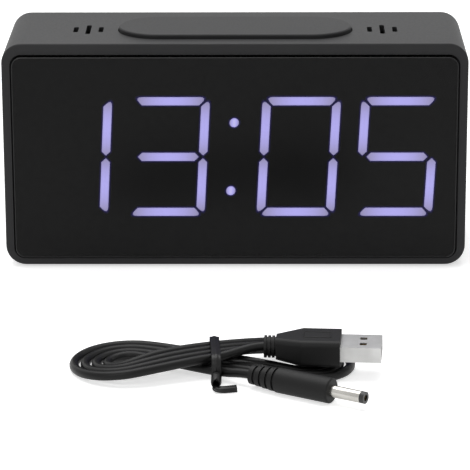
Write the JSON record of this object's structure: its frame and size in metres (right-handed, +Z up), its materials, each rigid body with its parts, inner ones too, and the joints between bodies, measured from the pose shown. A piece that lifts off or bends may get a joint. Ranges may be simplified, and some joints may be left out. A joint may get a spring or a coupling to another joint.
{
  "type": "digital led desk clock",
  "caption": "Block-shaped digital desk clock with a smoked lens over slanted LED digits, a snooze bar on top, setting buttons and a battery bay behind, and a tied USB power cable.",
  "frame": {"origin": "under the middle of the clock, on the surface that it stands on", "axes": "+Z up, -Y out of the display, +X to the right of someone who reads it"},
  "size_m": [0.15, 0.1831, 0.0761],
  "materials": {
    "case_abs": "fine moulded texture, charcoal black",
    "button_abs": "fine moulded texture, black",
    "smoked_acrylic": "smoked, smooth",
    "reflector_black": "matt black",
    "lit_guide": "translucent, lit pale violet",
    "unlit_guide": "smoked, unlit",
    "board_laminate": "green solder mask",
    "led_package": "cream package",
    "chip_epoxy": "black moulding",
    "plated_steel": "nickel plated",
    "screw_steel": "black zinc",
    "ribbon_grey": "grey",
    "foot_rubber": "matt",
    "cord_pvc": "black, soft sheen",
    "grip_pvc": "black, moulded",
    "tie_plastic": "black, plastic-coated wire",
    "tongue_plastic": "black",
    "gilt_contact": "gilt"
  },
  "bodies": {
    "clock": {"case_shell": "case_abs", "rear_cover": "case_abs", "front_lens": "smoked_acrylic", "display_reflector": "reflector_black", "hour_tens_segments": "lit_guide", "hour_units_segments": "lit_guide", "minute_tens_segments": "lit_guide", "minute_units_segments": "lit_guide", "colon_dots": "lit_guide", "dark_segments": "unlit_guide", "display_board": "board_laminate", "display_leds": "led_package", "display_driver_chip": "chip_epoxy", "display_screws": "screw_steel", "snooze_board": "board_laminate", "snooze_screws": "screw_steel", "snooze_switch": "chip_epoxy", "case_screws": "screw_steel", "control_board": "board_laminate", "control_screws": "screw_steel", "control_chip": "chip_epoxy", "clock_crystal": "plated_steel", "buzzer": "chip_epoxy", "battery_contacts": "plated_steel", "dc_jack": "chip_epoxy", "dc_jack_pin": "plated_steel", "ribbon_cable": "ribbon_grey", "jack_leads": "cord_pvc", "feet": "foot_rubber", "button_switches": "chip_epoxy"},
    "snooze_key": {"snooze_bar": "case_abs", "snooze_switch_stem": "chip_epoxy"},
    "mode_key": {"mode_button": "button_abs", "mode_switch_stem": "chip_epoxy"},
    "alarm_key": {"alarm_button": "button_abs", "alarm_switch_stem": "chip_epoxy"},
    "minus_key": {"minus_button": "button_abs", "minus_switch_stem": "chip_epoxy"},
    "plus_key": {"plus_button": "button_abs", "plus_switch_stem": "chip_epoxy"},
    "battery_lid": {"battery_door": "case_abs"},
    "power_cable": {"power_cord": "cord_pvc", "cord_tie": "tie_plastic", "usb_plug_grip": "grip_pvc", "usb_plug_shell": "plated_steel", "usb_plug_tongue": "tongue_plastic", "usb_plug_contacts": "gilt_contact", "dc_plug_grip": "grip_pvc", "dc_plug_barrel": "plated_steel", "dc_plug_tip": "tongue_plastic", "dc_plug_sleeve": "gilt_contact"}
  },
  "joints": [
    {"name": "snooze_press", "type": "slide", "parent": "clock", "child": "snooze_key", "axis": [0, 0, -1], "range_m": [0, 0.0008], "stiffness_N_per_m": 1500, "springref_m": -0.0005},
    {"name": "mode_press", "type": "slide", "parent": "clock", "child": "mode_key", "axis": [0, -1, 0], "range_m": [0, 0.0006], "stiffness_N_per_m": 1000, "springref_m": -0.0004},
    {"name": "alarm_press", "type": "slide", "parent": "clock", "child": "alarm_key", "axis": [0, -1, 0], "range_m": [0, 0.0006], "stiffness_N_per_m": 1000, "springref_m": -0.0004},
    {"name": "minus_press", "type": "slide", "parent": "clock", "child": "minus_key", "axis": [0, -1, 0], "range_m": [0, 0.0006], "stiffness_N_per_m": 1000, "springref_m": -0.0004},
    {"name": "plus_press", "type": "slide", "parent": "clock", "child": "plus_key", "axis": [0, -1, 0], "range_m": [0, 0.0006], "stiffness_N_per_m": 1000, "springref_m": -0.0004},
    {"name": "battery_door_hinge", "type": "hinge", "parent": "clock", "child": "battery_lid", "pos_m": [-0.008, 0.02315, 0.0091], "axis": [-1, 0, 0], "range_deg": [0, 95]},
    {"name": "cable_push", "type": "slide", "parent": "clock", "child": "power_cable", "axis": [0, -1, 0], "range_m": [0, 0.08]}
  ]
}
